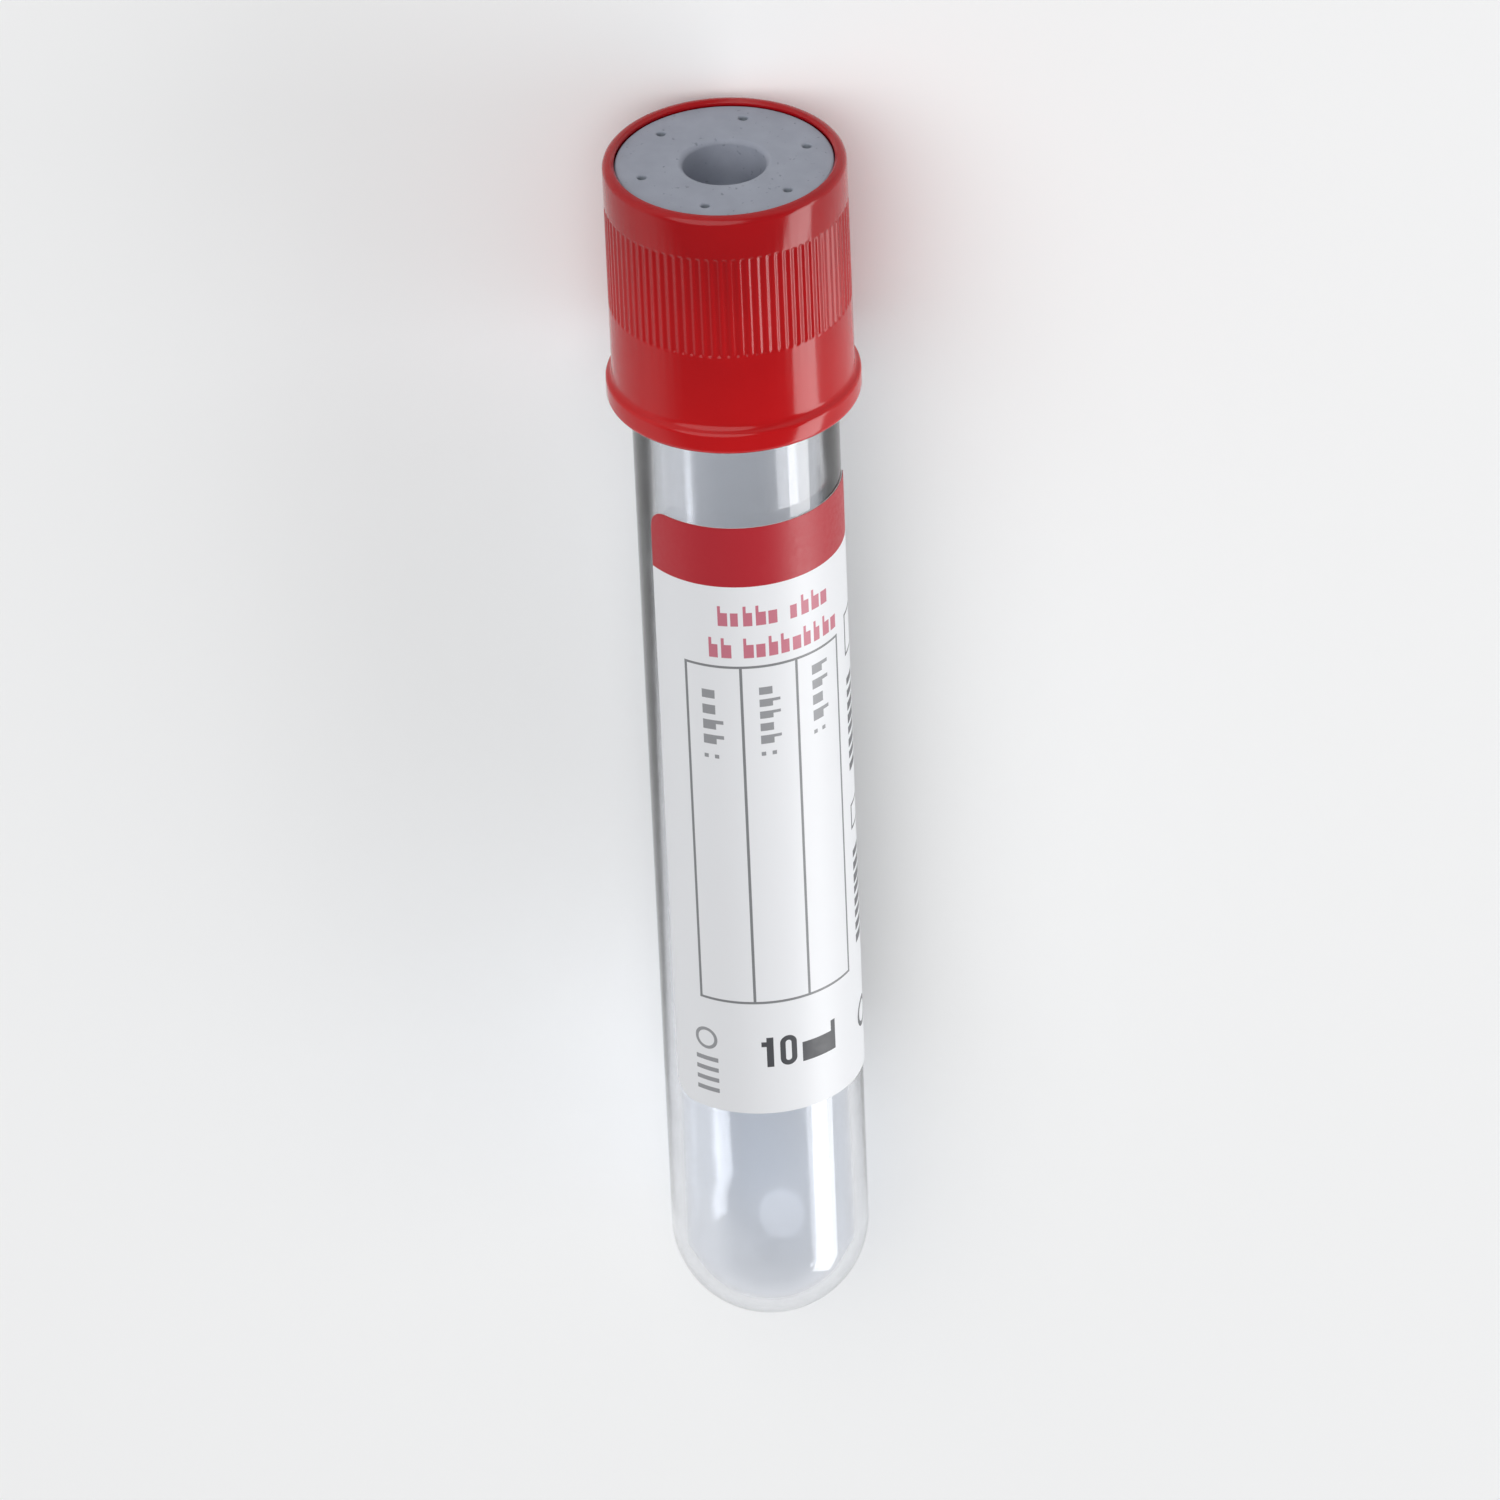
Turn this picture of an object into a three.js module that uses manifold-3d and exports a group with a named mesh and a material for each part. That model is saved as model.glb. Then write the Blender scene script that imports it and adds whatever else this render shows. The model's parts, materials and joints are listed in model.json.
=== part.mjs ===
// Blood collection tube, 16 x 100 mm, 10 ml.
//
// A clear round-bottomed tube with a paper label round part of it. A rubber stopper seals its
// mouth, and a ribbed plastic shield grips the stopper and skirts the top of the tube, so the
// two pull off together.
//
// Each piece is turned about the tube's own axis, upright, with z = 0 at the foot of the round
// end. The whole tube is then laid on its side as it comes to rest on a bench: it touches the
// bench with the shield's lip and with the round end, its cap points to +X, and its label
// looks up. The origin is on the bench, under the middle of the tube.
//
// Units are millimetres.

import * as THREE from "three";
import { mergeVertices } from "three/addons/utils/BufferGeometryUtils.js";
import loadManifold from "manifold-3d";

// Tube body
const TUBE_LENGTH = 100;
const MOUTH_RADIUS = 8;
const FOOT_RADIUS = 7.8; // where the round end begins: the mould's draft draws the tube in
const TUBE_WALL = 1.1;
const TUBE_RIM_ROUND = 0.35;

// Label
const LABEL_WIDTH = 21.7; // along the arc
const LABEL_HEIGHT = 54;
const LABEL_BOTTOM = 22.8;
const LABEL_THICKNESS = 0.1;
const LABEL_GLUE = 0.05; // between the paper and the tube
const LABEL_CORNER = 1.8;
const LABEL_TURN = THREE.MathUtils.degToRad(20); // its middle, turned from straight up

// Shield, outside
const SHIELD_TOP = TUBE_LENGTH + 5;
const SHIELD_BOTTOM = SHIELD_TOP - 20.6;
const SHIELD_RADIUS = 9.3;
const SHIELD_EDGE_ROUND = 0.6;
const LIP_RADIUS = 9.8;
const LIP_ROUND = 0.5;
const LIP_SHOULDER = SHIELD_BOTTOM + 1.6; // where the lip starts to draw in to the skirt
const LIP_SHOULDER_ROUND = 0.4;
const LIP_FILLET = 0.6;
const LIP_FLARE_DEGREES = 60;

// Shield, the band of fine ribs that fingers grip
const RIB_COUNT = 84;
const RIB_DEPTH = 0.25;
const RIB_BAND_TOP = SHIELD_TOP - 3.4;
const RIB_BAND_BOTTOM = SHIELD_TOP - 12.3;
const RIB_TIP_SHARE = 0.34; // of the ribs' pitch
const RIB_ROOT_SHARE = 0.72;

// Shield, inside: a skirt round the tube, a shelf in the stopper's groove, a pocket above it
const SKIRT_MOUTH_RADIUS = 8.9;
const SKIRT_BORE_RADIUS = 8.45;
const COLLAR_BORE_RADIUS = 8.3;
const COLLAR_LENGTH = 2.5;
const SHELF_BORE_RADIUS = 7.5;
const SHELF_BOTTOM = TUBE_LENGTH + 1.2;
const SHELF_TOP = SHELF_BOTTOM + 0.9;
const POCKET_RADIUS = 8.55;
const POCKET_BEAD_RADIUS = 8.4;

// Rubber stopper
const SEAT_GAP = 0.15; // what the squeezed rubber would take up
const STOPPER_TOP = SHIELD_TOP - 0.4;
const FLANGE_RADIUS = 8.25;
const SEAL_RADIUS = 7.9;
const PLUG_DEPTH = 9;
const PLUG_RADIUS = 6.6;
const PLUG_BEAD_HEIGHT = 0.15;
const PLUG_BEAD_ROUND = 1.2;
const PLUG_BEAD_DEPTHS = [2.4, 5.6];
const WELL_RADIUS = 3.2;
const WELL_DEPTH = 4.4;
const WELL_MOUTH_ROUND = 0.45;
const WELL_FLOOR_ROUND = 0.8;
const WELL_DRAFT = 0.1; // how much narrower its floor is
const HOLLOW_RADIUS = 4.3;
const HOLLOW_DEPTH = 6.6;
const DIMPLE_COUNT = 6;
const DIMPLE_CIRCLE_RADIUS = 6.9;
const DIMPLE_RADIUS = 0.42;
const DIMPLE_DEPTH = 0.35;
const DIMPLE_TURN = THREE.MathUtils.degToRad(46);

// Sides of the turned pieces: each rests on a flat of its polygon, not on an edge
const TUBE_SIDES = 48;
const STOPPER_SIDES = 48;
const SHIELD_SIDES = RIB_COUNT;
const DIMPLE_SIDES = 10;

const manifold = await loadManifold();
manifold.setup();

// ---- Profiles and solids ---------------------------------------------------------------

// A profile's points have x as the radius and y as the height.
function at(radius, height) {
  return new THREE.Vector2(radius, height);
}

function arc(centreRadius, centreHeight, round, fromDegrees, toDegrees, steps) {
  const points = [];
  for (let step = 0; step <= steps; step += 1) {
    const degrees = THREE.MathUtils.lerp(fromDegrees, toDegrees, step / steps);
    const angle = THREE.MathUtils.degToRad(degrees);
    points.push(at(centreRadius + round * Math.cos(angle), centreHeight + round * Math.sin(angle)));
  }
  return points;
}

function turned(profile, sides) {
  const geometry = new THREE.LatheGeometry(profile, sides, Math.PI / sides);
  geometry.rotateX(Math.PI / 2);
  return geometry;
}

function toSolid(geometry) {
  const bare = geometry.clone();
  bare.deleteAttribute("normal");
  bare.deleteAttribute("uv");
  const merged = mergeVertices(bare, 1e-5);
  const corners = merged.index.array;
  const triangles = [];
  for (let i = 0; i < corners.length; i += 3) {
    const [a, b, c] = corners.slice(i, i + 3);
    const isFlat = a === b || b === c || c === a;
    if (!isFlat) triangles.push(a, b, c);
  }
  const mesh = new manifold.Mesh({
    numProp: 3,
    vertProperties: new Float32Array(merged.attributes.position.array),
    triVerts: new Uint32Array(triangles),
  });
  return new manifold.Manifold(mesh);
}

function toGeometry(solid) {
  const mesh = solid.getMesh();
  const geometry = new THREE.BufferGeometry();
  geometry.setAttribute("position", new THREE.BufferAttribute(mesh.vertProperties, 3));
  geometry.setIndex(new THREE.BufferAttribute(mesh.triVerts, 1));
  geometry.computeVertexNormals();
  return geometry;
}

// ---- Tube body -------------------------------------------------------------------------

// One moulding: a drafted wall of even thickness, a round end and a rounded mouth.
function makeTubeBody() {
  const rimHeight = TUBE_LENGTH - TUBE_RIM_ROUND;
  const profile = [
    ...arc(0, FOOT_RADIUS, FOOT_RADIUS, -90, 0, 10),
    ...arc(MOUTH_RADIUS - TUBE_RIM_ROUND, rimHeight, TUBE_RIM_ROUND, 0, 90, 3),
    ...arc(MOUTH_RADIUS - TUBE_WALL + TUBE_RIM_ROUND, rimHeight, TUBE_RIM_ROUND, 90, 180, 3),
    ...arc(0, FOOT_RADIUS, FOOT_RADIUS - TUBE_WALL, 0, -90, 8),
  ];
  const material = new THREE.MeshStandardMaterial({
    color: 0xe4edf2,
    roughness: 0.06,
    metalness: 0,
    transparent: true,
    opacity: 0.35,
  });
  const mesh = new THREE.Mesh(turned(profile, TUBE_SIDES), material);
  mesh.name = "tube_body";
  return mesh;
}

function tubeRadiusAt(height) {
  const share = (height - FOOT_RADIUS) / (TUBE_LENGTH - FOOT_RADIUS);
  return THREE.MathUtils.lerp(FOOT_RADIUS, MOUTH_RADIUS, share);
}

// ---- Label -----------------------------------------------------------------------------

// The label's columns, from one side edge to the other: how far along the arc each one is,
// and how much the rounded corners take off its two ends.
function labelColumns() {
  const cornerSteps = 4;
  const middleSteps = 20;
  const corner = [];
  for (let step = 0; step <= cornerSteps; step += 1) {
    const angle = (Math.PI / 2) * (step / cornerSteps);
    const along = LABEL_CORNER * (1 - Math.cos(angle));
    const cut = LABEL_CORNER * (1 - Math.sin(angle));
    corner.push({ along, cut });
  }
  const middle = [];
  for (let step = 1; step < middleSteps; step += 1) {
    const along = THREE.MathUtils.lerp(LABEL_CORNER, LABEL_WIDTH - LABEL_CORNER, step / middleSteps);
    middle.push({ along, cut: 0 });
  }
  const farCorner = corner.map(({ along, cut }) => ({ along: LABEL_WIDTH - along, cut })).reverse();
  return [...corner, ...middle, ...farCorner];
}

// A sheet bent round the tube. Each column has four corners: outside bottom and top, then
// inside top and bottom.
function labelGeometry() {
  const positions = [];
  const columns = labelColumns();
  for (const { along, cut } of columns) {
    const angle = Math.PI + LABEL_TURN + (along - LABEL_WIDTH / 2) / MOUTH_RADIUS;
    const bottom = LABEL_BOTTOM + cut;
    const top = LABEL_BOTTOM + LABEL_HEIGHT - cut;
    const back = LABEL_GLUE;
    const front = LABEL_GLUE + LABEL_THICKNESS;
    for (const [lift, height] of [[front, bottom], [front, top], [back, top], [back, bottom]]) {
      const radius = tubeRadiusAt(height) + lift;
      positions.push(radius * Math.cos(angle), radius * Math.sin(angle), height);
    }
  }
  const indices = [];
  for (let column = 0; column + 1 < columns.length; column += 1) {
    for (let corner = 0; corner < 4; corner += 1) {
      const here = column * 4 + corner;
      const next = column * 4 + ((corner + 1) % 4);
      indices.push(here, here + 4, next + 4, here, next + 4, next);
    }
  }
  const last = (columns.length - 1) * 4;
  indices.push(0, 1, 2, 0, 2, 3);
  indices.push(last, last + 2, last + 1, last, last + 3, last + 2);
  const geometry = new THREE.BufferGeometry();
  geometry.setAttribute("position", new THREE.Float32BufferAttribute(positions, 3));
  geometry.setIndex(indices);
  geometry.computeVertexNormals();
  return geometry;
}

function makeLabel() {
  const material = new THREE.MeshStandardMaterial({ color: 0xd9dbdc, roughness: 0.6, metalness: 0 });
  const mesh = new THREE.Mesh(labelGeometry(), material);
  mesh.name = "label";
  return mesh;
}

// ---- Shield ----------------------------------------------------------------------------

// The outside, from the foot of the lip to the rim: a rounded lip that draws in to the skirt,
// the rib band sunk to the bottom of its grooves, and a plain collar.
function shieldOutside() {
  const grooveRadius = SHIELD_RADIUS - RIB_DEPTH;
  const flareRise = Math.sin(THREE.MathUtils.degToRad(LIP_FLARE_DEGREES));
  const filletHeight = LIP_SHOULDER + (LIP_SHOULDER_ROUND + LIP_FILLET) * flareRise;
  const edgeHeight = SHIELD_TOP - SHIELD_EDGE_ROUND;
  return [
    ...arc(LIP_RADIUS - LIP_ROUND, SHIELD_BOTTOM + LIP_ROUND, LIP_ROUND, -90, 0, 4),
    ...arc(LIP_RADIUS - LIP_SHOULDER_ROUND, LIP_SHOULDER, LIP_SHOULDER_ROUND, 0, LIP_FLARE_DEGREES, 2),
    ...arc(SHIELD_RADIUS + LIP_FILLET, filletHeight, LIP_FILLET, 180 + LIP_FLARE_DEGREES, 180, 3).slice(1),
    at(SHIELD_RADIUS, RIB_BAND_BOTTOM),
    at(grooveRadius, RIB_BAND_BOTTOM + RIB_DEPTH),
    at(grooveRadius, RIB_BAND_TOP - RIB_DEPTH),
    at(SHIELD_RADIUS, RIB_BAND_TOP),
    ...arc(SHIELD_RADIUS - SHIELD_EDGE_ROUND, edgeHeight, SHIELD_EDGE_ROUND, 0, 90, 4),
  ];
}

// The inside, from the rim to the foot of the lip: a bead that keeps the stopper in its pocket,
// the shelf, a close collar round the tube's mouth, and a looser skirt with a lead-in.
function shieldInside() {
  return [
    at(POCKET_RADIUS, SHIELD_TOP),
    at(POCKET_BEAD_RADIUS, SHIELD_TOP - 0.15),
    at(POCKET_BEAD_RADIUS, STOPPER_TOP),
    at(POCKET_RADIUS, STOPPER_TOP - 0.3),
    at(POCKET_RADIUS, SHELF_TOP),
    at(SHELF_BORE_RADIUS, SHELF_TOP),
    at(SHELF_BORE_RADIUS, SHELF_BOTTOM),
    at(COLLAR_BORE_RADIUS, SHELF_BOTTOM),
    at(COLLAR_BORE_RADIUS, TUBE_LENGTH - COLLAR_LENGTH),
    at(SKIRT_BORE_RADIUS, TUBE_LENGTH - COLLAR_LENGTH - 1),
    at(SKIRT_BORE_RADIUS, SHIELD_BOTTOM + 1.2),
    at(SKIRT_MOUTH_RADIUS, SHIELD_BOTTOM),
  ];
}

// A ring of straight ribs, rooted inside the shield's wall and ending inside its collar and
// skirt. Their tips stand a hair lower than both.
function ribRing() {
  const pitch = (2 * Math.PI) / RIB_COUNT;
  const tipRadius = SHIELD_RADIUS - 0.03;
  const rootRadius = SHIELD_RADIUS - RIB_DEPTH - 0.12;
  const outline = [];
  for (let rib = 0; rib < RIB_COUNT; rib += 1) {
    const corners = [
      [-RIB_ROOT_SHARE / 2, rootRadius],
      [-RIB_TIP_SHARE / 2, tipRadius],
      [RIB_TIP_SHARE / 2, tipRadius],
      [RIB_ROOT_SHARE / 2, rootRadius],
    ];
    for (const [share, radius] of corners) {
      const angle = (rib + share) * pitch;
      outline.push(at(radius * Math.cos(angle), radius * Math.sin(angle)));
    }
  }
  const ring = new THREE.Shape(outline);
  const bore = new THREE.Path();
  bore.absarc(0, 0, (SKIRT_BORE_RADIUS + SHIELD_RADIUS - RIB_DEPTH) / 2, 0, 2 * Math.PI, true);
  ring.holes.push(bore);
  const depth = RIB_BAND_TOP - RIB_BAND_BOTTOM;
  const geometry = new THREE.ExtrudeGeometry(ring, { depth, bevelEnabled: false, curveSegments: 24 });
  geometry.translate(0, 0, RIB_BAND_BOTTOM);
  return geometry;
}

function makeShield() {
  const outside = shieldOutside();
  const inside = shieldInside();
  const profile = [...outside, ...inside, outside[0]];
  const shell = toSolid(turned(profile, SHIELD_SIDES));
  const geometry = toGeometry(shell.add(toSolid(ribRing())));
  const material = new THREE.MeshStandardMaterial({ color: 0xb3141c, roughness: 0.2, metalness: 0 });
  const mesh = new THREE.Mesh(geometry, material);
  mesh.name = "cap_shield";
  return mesh;
}

// ---- Stopper ---------------------------------------------------------------------------

function plugBead(depth) {
  const turn = THREE.MathUtils.radToDeg(Math.acos(1 - PLUG_BEAD_HEIGHT / PLUG_BEAD_ROUND));
  const centreRadius = PLUG_RADIUS + PLUG_BEAD_HEIGHT - PLUG_BEAD_ROUND;
  return arc(centreRadius, TUBE_LENGTH - depth, PLUG_BEAD_ROUND, -turn, turn, 4);
}

// From the middle of the hollow underneath, out round the plug, up over both flanges and the
// groove between them, and in to the middle of the well on top.
function stopperProfile() {
  const plugEnd = TUBE_LENGTH - PLUG_DEPTH;
  const hollowTop = plugEnd + HOLLOW_DEPTH;
  const grooveRadius = SHELF_BORE_RADIUS - SEAT_GAP;
  const wellFloor = STOPPER_TOP - WELL_DEPTH;
  const floorRadius = WELL_RADIUS - WELL_DRAFT;
  const mouthHeight = STOPPER_TOP - WELL_MOUTH_ROUND;
  return [
    at(0, hollowTop),
    ...arc(HOLLOW_RADIUS - 1.6, hollowTop - 1.5, 1.5, 90, 0, 3),
    at(HOLLOW_RADIUS, plugEnd + 0.5),
    at(HOLLOW_RADIUS + 0.5, plugEnd),
    at(PLUG_RADIUS - 0.8, plugEnd),
    at(PLUG_RADIUS, plugEnd + 1),
    ...PLUG_BEAD_DEPTHS.map(plugBead).reverse().flat(),
    at(PLUG_RADIUS, TUBE_LENGTH + SEAT_GAP),
    at(SEAL_RADIUS, TUBE_LENGTH + SEAT_GAP),
    at(SEAL_RADIUS, SHELF_BOTTOM - SEAT_GAP),
    at(grooveRadius, SHELF_BOTTOM - SEAT_GAP),
    at(grooveRadius, SHELF_TOP + SEAT_GAP),
    at(FLANGE_RADIUS, SHELF_TOP + SEAT_GAP),
    ...arc(FLANGE_RADIUS - 0.3, STOPPER_TOP - 0.3, 0.3, 0, 90, 3),
    ...arc(WELL_RADIUS + WELL_MOUTH_ROUND, mouthHeight, WELL_MOUTH_ROUND, 90, 180, 3),
    ...arc(floorRadius - WELL_FLOOR_ROUND, wellFloor + WELL_FLOOR_ROUND, WELL_FLOOR_ROUND, 0, -90, 3),
    at(0, wellFloor),
  ];
}

function makeStopper() {
  let solid = toSolid(turned(stopperProfile(), STOPPER_SIDES));
  for (let dimple = 0; dimple < DIMPLE_COUNT; dimple += 1) {
    const angle = DIMPLE_TURN + (dimple / DIMPLE_COUNT) * 2 * Math.PI;
    const drill = new THREE.CylinderGeometry(DIMPLE_RADIUS, DIMPLE_RADIUS, 2 * DIMPLE_DEPTH, DIMPLE_SIDES);
    drill.rotateX(Math.PI / 2);
    const x = DIMPLE_CIRCLE_RADIUS * Math.cos(angle);
    const y = DIMPLE_CIRCLE_RADIUS * Math.sin(angle);
    drill.translate(x, y, STOPPER_TOP);
    solid = solid.subtract(toSolid(drill));
  }
  const material = new THREE.MeshStandardMaterial({ color: 0x8b939b, roughness: 0.75, metalness: 0 });
  const mesh = new THREE.Mesh(toGeometry(solid), material);
  mesh.name = "rubber_stopper";
  return mesh;
}

// ---- Laying it down --------------------------------------------------------------------

// How far the tube's axis rises towards the cap when the lip and the round end both touch
// the bench: the line that both their rounds touch, seen from the side.
function restingTilt() {
  const along = SHIELD_BOTTOM + LIP_ROUND - FOOT_RADIUS;
  const across = LIP_RADIUS - LIP_ROUND;
  const between = Math.hypot(along, across);
  return Math.atan2(across, along) - Math.asin((FOOT_RADIUS - LIP_ROUND) / between);
}

const bloodTube = new THREE.Group();
bloodTube.add(makeTubeBody(), makeLabel(), makeShield(), makeStopper());
bloodTube.rotation.y = Math.PI / 2 - restingTilt();

const box = new THREE.Box3().setFromObject(bloodTube, true);
const middle = box.getCenter(new THREE.Vector3());
bloodTube.position.set(-middle.x, -middle.y, -box.min.z);

const model = new THREE.Group();
model.add(bloodTube);

export default model;
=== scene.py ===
"""The looks of the blood collection tube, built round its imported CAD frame.

Every piece goes round the tube's own axis, so shapes and colours are worked out in the
tube's own space: z runs from the round end, at 0, up through the cap, and -x is the side that
looks up from the bench. to_bench lays that space down where the CAD tube lies.
"""
import json
import math

import bpy
import numpy as np
from mathutils import Matrix, Vector


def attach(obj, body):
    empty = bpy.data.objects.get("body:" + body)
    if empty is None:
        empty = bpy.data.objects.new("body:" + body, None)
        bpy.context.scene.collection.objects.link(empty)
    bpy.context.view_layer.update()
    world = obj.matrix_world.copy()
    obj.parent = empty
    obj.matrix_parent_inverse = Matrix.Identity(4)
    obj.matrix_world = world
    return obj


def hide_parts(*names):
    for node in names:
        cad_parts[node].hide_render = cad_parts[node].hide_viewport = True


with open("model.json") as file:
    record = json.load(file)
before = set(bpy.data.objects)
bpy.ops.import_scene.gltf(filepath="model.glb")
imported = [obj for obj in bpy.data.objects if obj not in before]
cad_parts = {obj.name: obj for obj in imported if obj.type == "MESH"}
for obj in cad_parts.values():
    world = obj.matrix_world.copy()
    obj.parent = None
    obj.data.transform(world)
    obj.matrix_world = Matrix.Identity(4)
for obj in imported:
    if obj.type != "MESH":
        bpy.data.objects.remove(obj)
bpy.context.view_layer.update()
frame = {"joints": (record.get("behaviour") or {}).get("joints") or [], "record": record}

MM = 0.001
TAU = 2 * math.pi

# ---- Driving sizes, in millimetres -------------------------------------------------------

TUBE_LENGTH = 100
MOUTH_RADIUS = 7.98  # to the CAD tube's flats, which it rests on
FOOT_RADIUS = 7.78
FOOT_CENTRE = 7.8
TUBE_WALL = 1.1
TUBE_RIM_ROUND = 0.35
GATE_RADIUS = 1.1  # a small flat in the middle of the round end, where the mould was filled

LABEL_WIDTH = 21.7
LABEL_HEIGHT = 54
LABEL_BOTTOM = 22.8
LABEL_CORNER = 1.8
LABEL_TURN = math.radians(20)
LABEL_GLUE = 0.03
LABEL_THICKNESS = 0.1
LABEL_MIDDLE = LABEL_GLUE + LABEL_THICKNESS / 2

# Shield, outside
SHIELD_TOP = 105
SHIELD_BOTTOM = 84.4
SHIELD_RADIUS = 9.3
SHIELD_EDGE_ROUND = 0.6
LIP_RADIUS = 9.79
LIP_ROUND = 0.5
LIP_SHOULDER = SHIELD_BOTTOM + 1.6  # where the lip starts to draw in to the skirt
LIP_SHOULDER_ROUND = 0.4
LIP_FILLET = 0.6
LIP_FLARE_DEGREES = 60
RIB_COUNT = 84
RIB_DEPTH = 0.1
RIB_BAND_TOP = SHIELD_TOP - 3.4
RIB_BAND_BOTTOM = SHIELD_TOP - 12.3
RIB_EASE = 0.35  # the height over which a groove comes to its depth

# Shield, inside: a pocket for the stopper, a shelf in its groove, a collar, a skirt
RIM_CHAMFER = 0.2
POCKET_BEAD_RADIUS = 8.4
POCKET_RADIUS = 8.55
SHELF_BORE_RADIUS = 7.5
SHELF_TOP = TUBE_LENGTH + 2.1
SHELF_BOTTOM = TUBE_LENGTH + 1.2
COLLAR_BORE_RADIUS = 8.3
COLLAR_BOTTOM = TUBE_LENGTH - 2.5
SKIRT_BORE_RADIUS = 8.45
SKIRT_TOP = TUBE_LENGTH - 3.5
SKIRT_MOUTH_RADIUS = 8.9
SKIRT_MOUTH_HEIGHT = 1.2

# Rubber stopper
SEAT_GAP = 0.15  # what the squeezed rubber would take up
STOPPER_TOP = SHIELD_TOP - 0.4
FLANGE_RADIUS = 8.36
SEAL_RADIUS = 7.9
PLUG_END = TUBE_LENGTH - 9
PLUG_RADIUS = 6.6
PLUG_TIP_RADIUS = 5.9
PLUG_TIP_HEIGHT = 1
PLUG_BEAD_ROUND = 1.2
PLUG_BEAD_CENTRE = 5.55
PLUG_BEAD_SPREAD = 28.9  # degrees each way, to where the bead's arc meets the plug
PLUG_BEAD_DEPTHS = (5.6, 2.4)
HOLLOW_DEPTH = 6.6
HOLLOW_RADIUS = 4.3
HOLLOW_DRAFT = 0.3
HOLLOW_TOP_ROUND = 1.2
HOLLOW_MOUTH_RADIUS = 4.7
HOLLOW_MOUTH_HEIGHT = 0.3
WELL_RADIUS = 3.2
WELL_DEPTH = 4.4
WELL_MOUTH_ROUND = 0.45
WELL_FLOOR_ROUND = 0.8
WELL_DRAFT = 0.1
DIMPLE_COUNT = 6
DIMPLE_CIRCLE = 6.55
DIMPLE_RADIUS = 0.42
DIMPLE_WALL = 0.21  # the width of its sloping side
DIMPLE_DEPTH = 0.35
DIMPLE_TURN = math.radians(46)
DIMPLE_BAND = 0.75  # how far each way from their circle the face has fine rings
DIMPLE_RING_STEP = 0.06

# ---- Where the tube lies -----------------------------------------------------------------

FACE_POINT_RADIUS = 5.2  # the stopper_face mount is this far from the tube's axis, uphill

tube_axis = Vector(frame["joints"][0]["axis"]).normalized()
uphill = Vector((-tube_axis.z, 0, tube_axis.x))
face_point = Vector(frame["record"]["mounts"][0]["pos_m"])
cap_face = face_point - uphill * FACE_POINT_RADIUS * MM
tube_foot = cap_face - tube_axis * STOPPER_TOP * MM

to_bench = Matrix.Identity(4)
to_bench.col[0].xyz = -uphill
to_bench.col[1].xyz = Vector((0, 1, 0))
to_bench.col[2].xyz = tube_axis
to_bench.col[3].xyz = tube_foot


def tube_radius_at(height):
    share = (height - FOOT_CENTRE) / (TUBE_LENGTH - FOOT_CENTRE)
    return FOOT_RADIUS + (MOUTH_RADIUS - FOOT_RADIUS) * share


# ---- Mesh helpers ------------------------------------------------------------------------

def smooth(share):
    """0 to 1 for a share of 0 to 1, easing at both ends."""
    return share * share * (3 - 2 * share)


def arc(centre_radius, centre_height, size, start, end, steps):
    """Points of a profile along an arc, angles in degrees."""
    angles = np.radians(np.linspace(start, end, steps + 1))
    return [(centre_radius + size * math.cos(a), centre_height + size * math.sin(a)) for a in angles]


def eased(corners, steps=5):
    """A profile from corners (radius, height, round), each with an arc of that round. The first
    and the last are its ends, with a round of 0."""
    points = []
    for i, (radius, height, size) in enumerate(corners):
        if size == 0:
            points.append((radius, height))
            continue
        here = Vector((radius, height))
        back = (Vector(corners[i - 1][:2]) - here).normalized()
        ahead = (Vector(corners[i + 1][:2]) - here).normalized()
        half = back.angle(ahead) / 2
        centre = here + (back + ahead).normalized() * (size / math.sin(half))
        first = here + back * (size / math.tan(half)) - centre
        last = here + ahead * (size / math.tan(half)) - centre
        for step in range(steps + 1):
            toward = first.lerp(last, step / steps).normalized()
            points.append(tuple(centre + toward * size))
    return points


def new_piece(name, vertices, faces, body, material, sharp=40):
    """A piece from vertices in the tube's own space, in millimetres. Edges that turn by more
    than sharp, in degrees, stay sharp."""
    mesh = bpy.data.meshes.new(name)
    mesh.from_pydata([to_bench @ (Vector(v) * MM) for v in vertices], [], faces)
    mesh.shade_smooth()
    mesh.set_sharp_from_angle(angle=math.radians(sharp))
    mesh.materials.append(material)
    piece = bpy.data.objects.new(name, mesh)
    bpy.context.scene.collection.objects.link(piece)
    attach(piece, body)
    return piece


def turned_mesh(profile, sides, closed, relief=None):
    """Vertices and faces of a profile turned about z. relief moves a ring's points: it is given
    their angles, radii and heights, and gives back radii and heights."""
    angles = np.arange(sides) * TAU / sides
    vertices, rings = [], []
    for radius, height in profile:
        if radius == 0:
            rings.append([len(vertices)])
            vertices.append((0, 0, height))
            continue
        radii, heights = np.full(sides, float(radius)), np.full(sides, float(height))
        if relief:
            radii, heights = relief(angles, radii, heights)
        rings.append(list(range(len(vertices), len(vertices) + sides)))
        vertices.extend(zip(radii * np.cos(angles), radii * np.sin(angles), heights))
    if closed:
        rings.append(rings[0])
    faces = []
    for low, high in zip(rings, rings[1:]):
        for i in range(sides):
            j = (i + 1) % sides
            if len(low) == 1:
                faces.append((low[0], high[j], high[i]))
            elif len(high) == 1:
                faces.append((low[i], low[j], high[0]))
            else:
                faces.append((low[i], low[j], high[j], high[i]))
    return vertices, faces


# ---- Node helpers ------------------------------------------------------------------------

MIX_FIRST, MIX_SECOND, MIX_RESULT = 6, 7, 2  # the colour sockets of a Mix node
BACKGROUND_RAYS = ("Is Camera Ray", "Is Glossy Ray", "Is Transmission Ray")


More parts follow.
